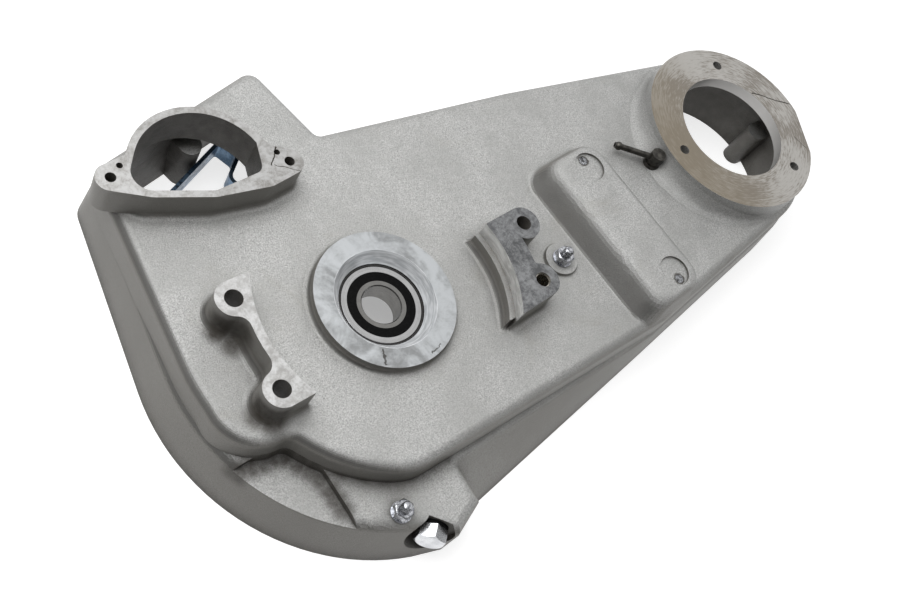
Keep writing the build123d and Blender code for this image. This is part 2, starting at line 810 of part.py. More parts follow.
for name, (place, seat_z) in stud_seats.items():
    screw = stud(place, seat_z)
    screw.label = f"{name}_stud"
    export_step(screw, f"parts/{name}_stud.step")
    nut = stud_nut(place, seat_z)
    nut.label = f"{name}_stud_nut"
    export_step(nut, f"parts/{name}_stud_nut.step")

# Vent hose fitting, pushed through the main face
hose_turn = degrees(atan2(hose_target.Y - hose_place.Y, hose_target.X - hose_place.X))
hose_reach = (hose_target - hose_place).length
with BuildPart() as hose_fitting:
    with BuildSketch(Plane.XY.offset(face_z)):
        with Locations(hose_place):
            Circle(hose_base_radius)
    extrude(amount=hose_base_height)
    with BuildSketch(Plane.XY.offset(face_z)):
        with Locations(hose_place):
            Circle(hose_body_radius)
    extrude(amount=hose_body_height)
    with BuildSketch(Plane.XY.offset(face_z)):
        with Locations(hose_place):
            Circle(hose_shank_radius)
    extrude(amount=-wall - hose_shank_reach)
    nipple_plane = Plane(
        origin=(hose_place.X, hose_place.Y, face_z + hose_body_height - hose_nipple_height),
        z_dir=on_circle(1, hose_turn),
    )
    with BuildSketch(nipple_plane):
        Circle(hose_nipple_radius)
    extrude(amount=hose_reach + hose_bead_radius)
    with Locations(nipple_plane.offset(hose_reach)):
        Sphere(hose_bead_radius)
    with BuildSketch(nipple_plane.offset(hose_reach + hose_bead_radius)):
        Circle(hose_nipple_bore)
    extrude(amount=-hose_reach, mode=Mode.SUBTRACT)
hose_fitting.part.label = "hose_fitting"
export_step(hose_fitting.part, "parts/hose_fitting.step")

# Strap on edge behind the starter opening, and its two screws
with BuildPart() as strap:
    with BuildSketch(Plane.XY.offset(strap_top)):
        with BuildLine() as route:
            FilletPolyline(*strap_points, radius=strap_bends)
        trace(line_width=strap_thickness)
    extrude(amount=-strap_height)
    for lug in strap_lugs:
        with BuildSketch(strap_seat(lug)):
            Circle(strap_screw_radius)
        extrude(amount=2 * strap_thickness, both=True, mode=Mode.SUBTRACT)
strap.part.label = "strap"
export_step(strap.part, "parts/strap.step")

with BuildPart() as strap_screws:
    for lug in strap_lugs:
        with BuildSketch(strap_seat(lug)):
            Circle(strap_screw_radius)
        extrude(amount=strap_screw_length)
        with BuildSketch(strap_seat(lug).offset(-strap_thickness)):
            Circle(strap_screw_radius)
        extrude(amount=strap_thickness)
        with BuildSketch(strap_seat(lug).offset(-strap_thickness)):
            Circle(strap_screw_head_radius)
        extrude(amount=-strap_screw_head)
strap_screws.part.label = "strap_screws"
export_step(strap_screws.part, "parts/strap_screws.step")

# Serrated anchor of the chain tensioner and its two screws
rack_top = rack_z - rack_roof
tooth_side = hypot(rack_tooth_pitch / 2, rack_tooth_depth)
with BuildPart() as tensioner_rack:
    with BuildSketch(rack_plane(rack_top)):
        RectangleRounded(rack_pocket_width, rack_pocket_length, rack_pocket_corner)
        offset(amount=-rack_gap)
    extrude(amount=-rack_thickness)
    tooth_plane = rack_plane(rack_top - rack_thickness)
    with BuildSketch(Plane(origin=tooth_plane.origin, x_dir=tooth_plane.y_dir, z_dir=tooth_plane.x_dir)):
        with GridLocations(rack_tooth_pitch, 0, rack_tooth_count, 1):
            Triangle(a=rack_tooth_pitch, b=tooth_side, c=tooth_side, align=(Align.CENTER, Align.MIN))
    extrude(amount=rack_pocket_width / 2, both=True, mode=Mode.SUBTRACT)
    with BuildSketch(rack_plane(rack_top)):
        with GridLocations(0, rack_screw_spacing, 1, 2):
            Circle(rack_screw_radius + rack_hole_gap)
    extrude(amount=-rack_thickness, mode=Mode.SUBTRACT)
tensioner_rack.part.label = "tensioner_rack"
export_step(tensioner_rack.part, "parts/tensioner_rack.step")

with BuildPart() as rack_screws:
    with BuildSketch(rack_plane(rack_top - rack_thickness)):
        with GridLocations(0, rack_screw_spacing, 1, 2):
            Circle(rack_screw_head_radius)
    extrude(amount=-rack_screw_head)
    with BuildSketch(rack_plane(rack_top - rack_thickness)):
        with GridLocations(0, rack_screw_spacing, 1, 2):
            Circle(rack_screw_radius)
    extrude(amount=rack_thickness + rack_roof - dimple_depth)
rack_screws.part.label = "rack_screws"
export_step(rack_screws.part, "parts/rack_screws.step")

# Thread insert in the lower hole of the right pad
with BuildPart() as thread_insert:
    with BuildSketch(Plane.XY.offset(mount_z - insert_recess)):
        with Locations(right_pad_holes[1]):
            Circle(right_hole_radius)
            Circle(right_hole_radius - insert_wall, mode=Mode.SUBTRACT)
    extrude(amount=-insert_length)
thread_insert.part.label = "thread_insert"
export_step(thread_insert.part, "parts/thread_insert.step")
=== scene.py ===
from math import cos, hypot, pi, radians, sin

import bpy
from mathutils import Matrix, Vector


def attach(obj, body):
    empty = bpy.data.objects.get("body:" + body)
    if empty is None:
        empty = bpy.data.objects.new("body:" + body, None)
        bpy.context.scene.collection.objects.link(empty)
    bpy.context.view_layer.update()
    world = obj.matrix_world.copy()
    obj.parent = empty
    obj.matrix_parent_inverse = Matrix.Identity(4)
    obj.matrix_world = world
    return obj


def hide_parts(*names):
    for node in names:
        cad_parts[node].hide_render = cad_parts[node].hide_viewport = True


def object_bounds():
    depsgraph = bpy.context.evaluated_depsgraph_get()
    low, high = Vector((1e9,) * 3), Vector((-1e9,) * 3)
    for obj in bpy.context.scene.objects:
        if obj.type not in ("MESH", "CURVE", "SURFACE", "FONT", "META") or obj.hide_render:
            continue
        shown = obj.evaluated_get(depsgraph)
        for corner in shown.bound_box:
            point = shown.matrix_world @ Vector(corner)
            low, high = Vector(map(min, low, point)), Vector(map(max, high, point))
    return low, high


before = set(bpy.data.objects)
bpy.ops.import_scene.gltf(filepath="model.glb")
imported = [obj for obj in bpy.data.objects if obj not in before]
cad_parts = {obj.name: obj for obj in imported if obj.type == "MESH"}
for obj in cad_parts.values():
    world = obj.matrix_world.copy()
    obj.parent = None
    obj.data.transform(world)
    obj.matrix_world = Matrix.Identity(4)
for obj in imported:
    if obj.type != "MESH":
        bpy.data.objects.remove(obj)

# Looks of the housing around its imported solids: materials, small pieces, light and camera.
cad_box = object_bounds()
MM = 0.001

# Heights on the housing, in millimetres, as in the part's source
rim_z = -44.2
ledge_z = -9.2
face_z = 8.8
boss_z = 15.8
crank_z = 24.5
mount_z = 30.0
face_band = 0.06

# Clutch hub, whose axis is the origin
boss_radius = 45.1
boss_mouth_radius = 32.5
bearing_radius = 26.0
# Width of the painted shadow in the gap round the bearing
bearing_gap = 1.2
hub_floor = -20.0

# Crankshaft opening and its ring
crank_axis = (326.0, 0.0)
crank_lip = 9.2
crank_bore_radius = 42.1
crank_ring_radius = 68.3
crank_reach = 68.0
crank_cove = (86.0, 96.0)

# Gearbox pads and starter tower
left_pad_edge = -70.0
right_pad_x = (60.0, 130.0)
right_pad_y = (-60.0, 25.0)
right_arc_radius = 84.5
right_arc_depth = 10.9
tower_centre = (-63.5, 110.5)
tower_reach = 50.0
tower_edge = 60.0

# Fillets at the feet of upright walls: where their section starts and how far it turns, in
# degrees, how deep they sink into the wall and the face, and their sizes
foot_start = 4
foot_turn = 82
foot_sink = (0.02, 0.01)
left_foot = 6.0
right_foot = 4.5
ring_foot = (4.0, 9.5)
ring_foot_start = 118.0
ring_foot_turn = 130.0
ring_foot_steps = 60
shortest_loop = 12

# Studs: the thread's depth as a share of its pitch and the share of it that is left, the
# chamfer at the end, and how far each stud reaches from the face that it stands on
stud_radius = 3.3
stud_pitch = 1.0
thread_depth = 0.6
thread_left = 0.8
stud_chamfer = 0.9
sump_stud_place = (-56.0, -110.0)
sump_stud_reach = (-12.0, 12.0)
face_stud_place = (131.38, -26.5)
face_stud_reach = (-9.5, 14.5)

# Marks: dirt and painted shade at points, and cracks from point to point with their width and
# wander
# Rack screws, round which the shade of their holes is painted dark
rack_screws = ((188.1, 24.6), (195.9, -77.4))
# Dirt and painted shade on the left pad's walls
pad_dirt_and_shade = ((-100.0, 27.0), (-96.0, 16.0), (-106.0, -26.0), (-101.0, -33.0))
# Painted shade in the pocket along the wall's foot
pocket_shade_places = (
    (-130, -44), (-123, -45), (-116, -46), (-109, -47), (-102, -47), (-96, -50),
    (-92, -57), (-88, -64), (-85, -71), (-84, -78), (-84, -85), (-84, -92),
)
cracks = (
    ((366, 17), (393, -4), 0.7, 1.6, 9.0), ((374, -28), (377, -40), 0.3, 0.8),
    ((-24, 99), (-14, 109), 0.6), ((-22, 99), (-8, 88), 0.3),
)
chips = (((-22, -26), (-25, -36), 0.9, 2.5, 3.0), ((5, -42), (14, -40), 0.5, 2.5, 3.0))

# Colours of the casting, the pairs from dark to light
skin_shades = ((0.29, 0.29, 0.283), (0.66, 0.66, 0.648))
cloud_shade = (0.39, 0.39, 0.378)
stain_shade = (0.30, 0.275, 0.23)
fleck_shade = (0.16, 0.15, 0.13)
# Steep walls: browner unblasted skin, darkened further as painted shade
wall_skin_and_painted_shade = (0.205, 0.193, 0.172)
# Painted shade on slopes that face -x
slope_painted_shade = (0.10, 0.098, 0.092)
# Dirt and painted shade in corners, openings, the pocket and at the pads
dirt_and_shade_colour = (0.045, 0.038, 0.03)
boss_shades = ((0.25, 0.256, 0.258), (0.50, 0.517, 0.53))
cone_shades = ((0.56, 0.58, 0.60), (0.90, 0.92, 0.94))
# Painted shadow in the gap round the bearing
gap_painted_shadow = (0.02, 0.019, 0.018)
left_pad_shades = ((0.32, 0.315, 0.305), (0.53, 0.53, 0.527))
flange_shades = ((0.25, 0.242, 0.228), (0.45, 0.448, 0.443))
right_pad_shades = ((0.10, 0.102, 0.105), (0.29, 0.295, 0.30))
right_side_shades = ((0.66, 0.66, 0.65), (0.93, 0.93, 0.92))
ring_shades = ((0.26, 0.238, 0.21), (0.48, 0.465, 0.44))
ring_stain_shade = (0.25, 0.212, 0.155)
crank_bore_shade = (0.60, 0.59, 0.575)
rim_shade = (0.42, 0.40, 0.36)
crack_shade = (0.035, 0.03, 0.024)

# Floor: its size in metres, its shades to light and to the eye, and its glow to the eye,
# which is weaker round the place that shows through the bearing, as a painted shadow
floor_size = 6.0
floor_gap = 0.0002
floor_shades = ((0.30, 0.30, 0.30), (0.55, 0.55, 0.55))
floor_glow = (0.34, 0.75)
hub_shadow_place = (35.0, 14.0)
hub_shadow_reach = (20.0, 50.0)

# World: the way to its brightest part, and its levels away from there and at it
world_up = (0.45, 0.33, 0.83)
world_reach = (0.1, 1.0)
world_light = (0.14, 0.62)
world_mirror = (0.10, 1.05)
world_seen = 1.0

# Lamp and camera, in metres and degrees
key_place = (-0.27, 0.35, 0.90)
key_target = (-0.06, -0.02, 0.0)
key_size = 0.8
key_power = 7.4
camera_lens = 49.87
camera_sensor = 36.0
camera_place = (-0.38477, -0.16066, 0.62537)
camera_turn = (29.036, -22.527, -36.763)


class Nodes:
    """A node tree, built with short calls that return output sockets."""

    def __init__(self, tree):
        self.nodes = tree.nodes
        self.links = tree.links

    def put(self, socket, value):
        if isinstance(value, bpy.types.NodeSocket):
            self.links.new(value, socket)
        elif isinstance(value, tuple) and len(value) == 3 and socket.type == "RGBA":
            socket.default_value = (*value, 1)
        else:
            socket.default_value = value

    def node(self, kind, settings=None, **inputs):
        made = self.nodes.new(kind)
        for name, value in (settings or {}).items():
            setattr(made, name, value)
        for name, value in inputs.items():
            self.put(made.inputs[name.replace("_", " ")], value)
        return made

    def math(self, operation, *values, clamp=False):
        made = self.nodes.new("ShaderNodeMath")
        made.operation = operation
        made.use_clamp = clamp
        for socket, value in zip(made.inputs, values):
            self.put(socket, value)
        return made.outputs[0]

    def vector(self, operation, a, b=None, scale=None):
        made = self.nodes.new("ShaderNodeVectorMath")
        made.operation = operation
        self.put(made.inputs[0], a)
        if b is not None:
            self.put(made.inputs[1], b)
        if scale is not None:
            self.put(made.inputs["Scale"], scale)
        gives_number = operation in ("LENGTH", "DOT_PRODUCT", "DISTANCE")
        return made.outputs["Value"] if gives_number else made.outputs[0]

    def ramp(self, value, low, high, out_low=0.0, out_high=1.0, smooth=True):
        """Value from low to high mapped to the two outputs, and held beyond them."""
        made = self.node(
            "ShaderNodeMapRange", {"interpolation_type": "SMOOTHSTEP" if smooth else "LINEAR"},
            Value=value, From_Min=low, From_Max=high, To_Min=out_low, To_Max=out_high,
        )
        return made.outputs[0]

    def mix(self, share, a, b):
        """Colour a where share is 0, and b where it is 1."""
        made = self.node("ShaderNodeMix", {"data_type": "RGBA"})
        self.put(made.inputs["Factor"], share)
        self.put(made.inputs[6], a)
        self.put(made.inputs[7], b)
        return made.outputs[2]

    def blend(self, share, a, b):
        """Number a where share is 0, and b where it is 1."""
        made = self.node("ShaderNodeMix")
        for socket, value in zip(made.inputs[:1] + made.inputs[2:4], (share, a, b)):
            self.put(socket, value)
        return made.outputs[0]

    def part(self, value, share):
        return self.math("MULTIPLY", value, share)

    def above(self, value, limit):
        return self.math("GREATER_THAN", value, limit)

    def below(self, value, limit):
        return self.math("LESS_THAN", value, limit)

    def within(self, value, low, high):
        """1 where low < value < high, and 0 elsewhere."""
        return self.math("MULTIPLY", self.above(value, low), self.below(value, high))

    def all_of(self, *masks):
        result = masks[0]
        for mask in masks[1:]:
            result = self.math("MULTIPLY", result, mask)
        return result

    def any_of(self, *masks):
        result = masks[0]
        for mask in masks[1:]:
            result = self.math("MAXIMUM", result, mask)
        return result

    def rays(self, *kinds):
        """1 for the given kinds of ray, and 0 for the others."""
        path = self.nodes.new("ShaderNodeLightPath")
        return self.any_of(*(path.outputs[kind] for kind in kinds))


class Surface(Nodes):
    """Nodes of a material on the object, with places in millimetres."""

    def __init__(self, name, **values):
        self.material = bpy.data.materials.new(name)
        self.material.use_nodes = True
        super().__init__(self.material.node_tree)
        self.shader = self.nodes["Principled BSDF"]
        self.finish(**values)
        coordinate = self.nodes.new("ShaderNodeTexCoord").outputs["Object"]
        self.place = self.vector("SCALE", coordinate, scale=1 / MM)
        parts = self.node("ShaderNodeSeparateXYZ", Vector=self.place)
        self.x, self.y, self.z = parts.outputs

    def noise(self, size, detail=2.0, rough=0.5, place=None, warp=0.0):
        """Noise from 0 to 1, its features about size millimetres wide."""
        made = self.node(
            "ShaderNodeTexNoise", Scale=1 / size, Detail=detail, Roughness=rough,
            Distortion=warp, Vector=place or self.place,
        )
        return made.outputs["Fac"]

    def shades(self, value, low, high, pair):
        """Colours of a pair, from the first where value is low to the second where it is high."""
        return self.mix(self.ramp(value, low, high), *pair)

    def radius(self, centre=(0, 0)):
        """Distance from an upright axis."""
        offset = self.vector("SUBTRACT", self.place, (*centre, 0))
        return self.vector("LENGTH", self.vector("MULTIPLY", offset, (1, 1, 0)))

    def turn(self, centre):
        """Angle round an upright axis, in radians."""
        x, y = self.math("SUBTRACT", self.x, centre[0]), self.math("SUBTRACT", self.y, centre[1])
        return self.math("ARCTAN2", y, x)

    def around(self, radius, centre, stretch):
        """Place by distance from an upright axis and by stretched angle round it."""
        angle = self.part(self.turn(centre), stretch)
        return self.node("ShaderNodeCombineXYZ", X=radius, Y=angle).outputs[0]

    def blots(self, places, low, high, strength):
        """Strength up to low millimetres from any of the places, fading to 0 at high."""
        return [self.ramp(self.radius(place), low, high, strength, 0) for place in places]

    def line(self, start, end, width, wander=1.5, size=6.0):
        """1 on a thin wandering line between two points of a level face, and 0 off it."""
        a, b = Vector(start), Vector(end)
        along = (b - a).normalized()
        across = Vector((-along.y, along.x))
        flat = self.vector("SUBTRACT", self.place, (*a, 0))
        s = self.vector("DOT_PRODUCT", flat, (*along, 0))
        d = self.vector("DOT_PRODUCT", flat, (*across, 0))
        bend = self.part(self.math("SUBTRACT", self.noise(size, 3), 0.5), 2 * wander)
        off = self.math("ABSOLUTE", self.math("ADD", d, bend))
        near = self.ramp(off, 0.4 * width, width, 1, 0)
        return self.all_of(near, self.within(s, 0, (b - a).length))

    def bump(self, height, depth, normal=None):
        """Normal of a surface whose height in millimetres is height times depth."""
        made = self.node("ShaderNodeBump", Height=height, Distance=depth * MM)
        if normal is not None:
            self.put(made.inputs["Normal"], normal)
        return made.outputs[0]

    def finish(self, **values):
        """Sets the shader's inputs and gives the material."""
        for socket, value in values.items():
            self.put(self.shader.inputs[socket.replace("_", " ")], value)
        return self.material


class Casting(Surface):
    """Blasted aluminium casting, machined where it meets other parts."""

    def __init__(self):
        super().__init__("cast_aluminium")
        self.r = self.radius()
        self.crank_r = self.radius(crank_axis)
        self.facing = self.nodes.new("ShaderNodeNewGeometry").outputs["True Normal"]
        self.aside, _, self.up = self.node("ShaderNodeSeparateXYZ", Vector=self.facing).outputs
        self.slant = self.math("ABSOLUTE", self.up)
        self.find_areas()

    def find_areas(self):
        """Masks of the machined areas."""
        boss_top = self.all_of(
            self.above(self.z, boss_z - face_band), self.below(self.r, boss_radius + 1)
        )
        self.cone = self.all_of(
            self.below(self.r, boss_mouth_radius + 0.2), self.above(self.z, hub_floor)
        )
        boss = self.all_of(self.any_of(boss_top, self.cone), self.below(self.z, mount_z - 5))
        crank_top = self.all_of(
            self.within(self.z, crank_z - face_band, crank_z + face_band),
            self.below(self.crank_r, crank_ring_radius + 1),
        )
        self.crank_bore = self.all_of(
            self.below(self.crank_r, crank_bore_radius + 0.3),
            self.above(self.z, crank_z - crank_lip - 1),
        )
        self.crank = self.any_of(crank_top, self.crank_bore)
        mounts = self.all_of(
            self.within(self.z, mount_z - face_band, mount_z + face_band), self.above(self.up, 0.99)
        )
        near_right = self.all_of(
            self.within(self.x, *right_pad_x), self.within(self.y, *right_pad_y)
        )
        self.right_top = self.all_of(mounts, near_right)
        self.right_side = self.all_of(
            near_right, self.within(self.z, mount_z - right_arc_depth, mount_z - face_band),
            self.below(self.r, right_arc_radius),
        )
        self.left_top = self.all_of(
            mounts, self.below(self.x, left_pad_edge), self.below(self.y, tower_edge)
        )
        self.flange = self.all_of(mounts, self.above(self.y, tower_edge))
        self.rim = self.below(self.z, rim_z + face_band)
        self.machined = self.any_of(boss, self.crank, mounts, self.right_side, self.rim)

    def inner_wall(self, centre):
        """1 on walls that face an upright axis."""
        offset = self.vector("SUBTRACT", (*centre, 0), self.place)
        inward = self.vector("MULTIPLY", offset, (1, 1, 0))
        return self.above(self.vector("DOT_PRODUCT", inward, self.facing), 0.5)

    def skin_colour(self):
        """Sandy speckle, cloudy patches, brown stains, browner walls with painted shade, and
        painted shade on slopes facing -x.
        """
        self.speckle = self.noise(0.9, 4, 0.8)
        patch = self.noise(45, 4, 0.55)
        stain = self.ramp(self.noise(50, 5, 0.65, warp=0.8), 0.56, 0.74)
        fleck = self.ramp(self.noise(2.6, 5, 0.8), 0.66, 0.72)
        skin = self.shades(self.speckle, 0.3, 0.7, skin_shades)
        skin = self.mix(self.ramp(patch, 0.38, 0.62, 0, 0.5), skin, cloud_shade)
        skin = self.mix(self.part(stain, 0.28), skin, stain_shade)
        skin = self.mix(self.part(fleck, 0.5), skin, fleck_shade)

        # Steep walls get browner skin and painted shade, little of it in the cove round the crank
        # ring
        in_cove = self.all_of(
            self.above(self.z, face_z + 0.05), self.ramp(self.crank_r, *crank_cove, 1, 0)
        )
        off_cove = self.math("SUBTRACT", 1, self.part(in_cove, 0.85))
        self.steep = self.math("MULTIPLY", self.ramp(self.slant, 0.42, 0.95, 1, 0), off_cove)
        skin = self.mix(self.part(self.steep, 0.75), skin, wall_skin_and_painted_shade)
        # Painted shade on slopes that face -x
        slope = self.all_of(
            self.ramp(self.aside, -0.62, -0.25, 1, 0), self.ramp(self.up, 0.25, 0.6), off_cove
        )
        return self.mix(self.part(slope, 0.8), skin, slope_painted_shade)

    def dirt_and_shade_share(self):
        """Painted shade in corners, in the openings, in the pocket and round the rack screws,
        darker towards the gasket rim, and dirt and painted shade at the pads.
        """
        closed_in = self.node(
            "ShaderNodeAmbientOcclusion", {"samples": 6}, Distance=14 * MM
        ).outputs["AO"]
        # Painted shade in corners, from ambient occlusion
        corner = self.ramp(closed_in, 0.35, 0.85, 0.75, 0)
        # Darker towards the gasket rim
        at_rim = self.ramp(self.z, rim_z, rim_z + 4, 0.5, 0)
        on_ledge = self.below(self.z, ledge_z + 3)
        # Painted shade in the corners of the ledge
        ledge_corner_shade = self.math("MULTIPLY", on_ledge, self.ramp(closed_in, 0.45, 0.97, 0.9, 0))
        # Painted shade in the pocket
        pocket_shade = self.all_of(
            self.any_of(*self.blots(pocket_shade_places, 2, 10, 0.8)), on_ledge,
            self.ramp(self.z, rim_z + 20, rim_z + 28),
        )
        # Painted shade on the inner walls of the crank and tower openings
        in_crank = self.all_of(
            self.below(self.z, crank_z - crank_lip), self.below(self.crank_r, crank_reach),
            self.inner_wall(crank_axis),
        )
        in_tower = self.all_of(
            self.below(self.radius(tower_centre), tower_reach), self.inner_wall(tower_centre),
            self.steep,
        )
        # Painted shade in the holes round the rack screws
        screw_r = self.math(
            "ADD", self.math("MINIMUM", *(self.radius(place) for place in rack_screws)),
            self.part(self.noise(3, 3), 3),
        )
        # Dirt and painted shade on the pads' walls, with the screw holes' painted shade
        stains_and_shade = self.any_of(
            *self.blots(pad_dirt_and_shade, 3, 12, 0.9), self.ramp(screw_r, 5.0, 6.2, 0.95, 0)
        )
        stains_and_shade = self.all_of(stains_and_shade, self.ramp(self.z, mount_z - 8, mount_z - 2, 1, 0))
        dirt_and_shade = self.any_of(
            corner, at_rim, ledge_corner_shade, pocket_shade, self.part(in_crank, 0.45),
            self.part(in_tower, 0.75), stains_and_shade,
        )
        # Uneven strength of the dirt and painted shade
        grime_and_shade_noise = self.math("ADD", self.noise(7, 4, 0.6), 0.45)
        return self.math("MULTIPLY", dirt_and_shade, grime_and_shade_noise, clamp=True)

    def metal_colour(self):
        """Smeared grey on the boss and the pads, warm grey on the crank ring, a painted shadow in
        the gap round the bearing, and cracks.
        """
        self.smear = self.math(
            "ADD", self.part(self.noise(11, 5, 0.7, warp=0.7), 0.6),
            self.part(self.noise(2.2, 4, 0.75, warp=0.4), 0.4),
        )
        swirl = self.math(
            "ADD", self.part(self.noise(24, 4, 0.55, warp=1.5), 0.6), self.part(self.smear, 0.4)
        )
        streak_place = self.vector("MULTIPLY", self.place, (1, 0.22, 1))
        streak = self.noise(4, 4, 0.6, place=streak_place, warp=0.8)
        turned = self.noise(0.9, 2, 0.6, place=self.around(self.r, (0, 0), 2.0))
        self.rings = self.noise(1.1, 3, 0.6, place=self.around(self.crank_r, crank_axis, 9.0))
        broad = self.math(
            "ADD", self.part(self.noise(38, 3, 0.5), 0.5), self.part(self.rings, 0.5)
        )
        ring = self.shades(broad, 0.42, 0.58, ring_shades)
        ring = self.mix(self.ramp(self.x, 262, 340, 0.75, 0), ring, ring_stain_shade)
        # Painted shadow in the gap round the bearing
        gap_shadow = self.all_of(self.cone, self.below(self.r, bearing_radius + bearing_gap))
        bore = self.all_of(self.crank_bore, self.below(self.z, crank_z - face_band))
        scores = self.any_of(
            *(self.line(*crack) for crack in cracks),
            self.part(self.any_of(*(self.line(*chip) for chip in chips)), 0.8),
        )
        metal = self.shades(swirl, 0.36, 0.62, boss_shades)
        for mask, colour in (
            (self.cone, self.shades(turned, 0.35, 0.65, cone_shades)),
            (gap_shadow, gap_painted_shadow),
            (self.left_top, self.shades(self.smear, 0.38, 0.6, left_pad_shades)),
            (self.flange, self.shades(self.smear, 0.36, 0.6, flange_shades)),
            (self.right_top, self.shades(self.smear, 0.38, 0.64, right_pad_shades)),
            (self.right_side, self.shades(streak, 0.35, 0.65, right_side_shades)),
            (self.crank, ring),
            (bore, crank_bore_shade),
            (self.rim, rim_shade),
            (scores, crack_shade),
        ):
            metal = self.mix(mask, metal, colour)
        return metal

    def relief(self):
        """Sandy grain on the cast skin, and cutter marks on the machined areas."""
        grain = self.bump(self.noise(0.75, 3, 0.85), 0.42)
        grain = self.bump(self.noise(22, 3), 1.0, grain)
        milling_place = self.vector("MULTIPLY", self.place, (1, 0.15, 0.3))
        milling = self.noise(1.1, 3, 0.6, place=milling_place)
        cuts = self.blend(self.crank, self.blend(self.right_side, self.smear, milling), self.rings)
        marks = self.bump(self.math("ADD", cuts, self.part(self.noise(1.4, 3), 0.3)), 0.05)
        normal = self.node("ShaderNodeMix", {"data_type": "VECTOR"})
        self.put(normal.inputs["Factor"], self.machined)
        self.put(normal.inputs[4], grain)
        self.put(normal.inputs[5], marks)
        return normal.outputs[1]

    def build(self):
        skin = self.skin_colour()
        # Dirt and painted shade darken the skin and take away its sheen
        dirt_and_shade = self.dirt_and_shade_share()
        skin = self.mix(dirt_and_shade, skin, dirt_and_shade_colour)
        metal = self.metal_colour()
        clear_of_dirt_and_shade = self.math("SUBTRACT", 1, dirt_and_shade)
        skin_metallic = self.math("MULTIPLY", clear_of_dirt_and_shade, self.ramp(self.slant, 0.3, 0.8, 0.3, 0.72))
        skin_rough = self.ramp(self.speckle, 0.3, 0.7, 0.38, 0.50)
        cut_rough = self.blend(self.cone, self.ramp(self.smear, 0.3, 0.7, 0.40, 0.52), 0.24)
        return self.finish(
            Base_Color=self.mix(self.machined, skin, metal),
            Metallic=self.blend(self.machined, skin_metallic, self.blend(self.cone, 0.85, 0.3)),
            Roughness=self.blend(self.machined, skin_rough, cut_rough),
            Normal=self.relief(),
        )


def metal_material(
    name, dark, light, metallic=1.0, rough=(0.25, 0.4), size=3.0, depth=0.02, grain=0.6
):
    """Metal whose colour wanders between two shades, with fine marks."""
    g = Surface(name, Metallic=metallic)
    fine = g.noise(grain, 3, 0.6)
    return g.finish(
        Base_Color=g.shades(g.noise(size, 4, 0.6), 0.3, 0.7, (dark, light)),
        Roughness=g.ramp(fine, 0.3, 0.7, *rough),
        Normal=g.bump(fine, depth),
    )


def turned_material(name, dark, light, pitch, rough=(0.15, 0.3)):
    """Ground or turned steel, with fine rings about the bearing's axis."""
    g = Surface(name, Metallic=1.0)
    section = g.node("ShaderNodeCombineXYZ", X=g.radius(), Y=g.z).outputs[0]
    rings = g.noise(pitch, 2, 0.6, place=section)
    return g.finish(
        Base_Color=g.mix(g.part(g.math("ADD", rings, g.noise(5, 3)), 0.5), dark, light),
        Roughness=g.ramp(rings, 0.3, 0.7, *rough),
        Normal=g.bump(rings, 0.006),
    )


def rubber_material():
    """Black seal rubber with a dull sheen and fine dust."""
    g = Surface("seal_rubber", Metallic=0.0)
    dust = g.ramp(g.noise(1.8, 4, 0.7), 0.45, 0.8)
    return g.finish(
        Base_Color=g.mix(dust, (0.003, 0.003, 0.003), (0.009, 0.009, 0.009)),
        Specular_IOR_Level=0.06,
        Roughness=g.ramp(g.noise(0.7, 2), 0.3, 0.7, 0.5, 0.65),
        Normal=g.bump(g.noise(0.5, 2), 0.01),
    )


def strap_material():
    """Zinc plating with a dark blue film that shifts along the strap."""
    g = Surface("blue_zinc", Metallic=1.0)
    film = g.noise(18, 3, 0.5, warp=0.4)
    colour = g.shades(film, 0.35, 0.65, ((0.03, 0.06, 0.10), (0.14, 0.21, 0.30)))
    scratch = g.ramp(g.noise(1.2, 4, 0.7), 0.5, 0.75)
    return g.finish(
        Base_Color=g.mix(g.part(scratch, 0.3), colour, (0.35, 0.40, 0.46)),
        Roughness=g.ramp(g.noise(2.5, 3), 0.3, 0.7, 0.22, 0.42),
        Normal=g.bump(g.noise(0.9, 3), 0.02),
    )


# A material for each solid
casting = Casting().build()
outer_steel = turned_material("outer_ring_steel", (0.27, 0.27, 0.27), (0.54, 0.54, 0.54), 0.35)
inner_steel = turned_material("inner_ring_steel", (0.10, 0.098, 0.094), (0.28, 0.275, 0.265), 0.35)
ball_steel = metal_material(
    "ball_steel", (0.65, 0.65, 0.66), (0.8, 0.8, 0.8), rough=(0.06, 0.12)
)
cage_steel = metal_material(
    "cage_steel", (0.42, 0.41, 0.40), (0.58, 0.57, 0.55), rough=(0.25, 0.4)
)
spring_steel = metal_material("spring_steel", (0.09, 0.085, 0.08), (0.17, 0.165, 0.155), 0.9)
plug_zinc = metal_material(
    "plug_zinc", (0.55, 0.56, 0.58), (0.74, 0.75, 0.77), rough=(0.22, 0.32), size=8,
    depth=0.006, grain=0.5,
)
zinc = metal_material(
    "zinc_steel", (0.16, 0.165, 0.18), (0.62, 0.63, 0.66), rough=(0.16, 0.30), size=1.6
)
dark_steel = metal_material(
    "dark_steel", (0.035, 0.033, 0.03), (0.10, 0.095, 0.085), 0.9, (0.30, 0.5), 4, 0.03
)
rack_steel = metal_material("rack_steel", (0.22, 0.21, 0.20), (0.36, 0.35, 0.33), rough=(0.35, 0.5))
worn_steel = metal_material(
    "worn_steel", (0.015, 0.014, 0.013), (0.42, 0.43, 0.45), rough=(0.2, 0.35), size=2.4,
    depth=0.12,
)
insert_steel = metal_material(
    "insert_steel", (0.55, 0.52, 0.45), (0.78, 0.74, 0.66), rough=(0.2, 0.3)
)
rubber = rubber_material()
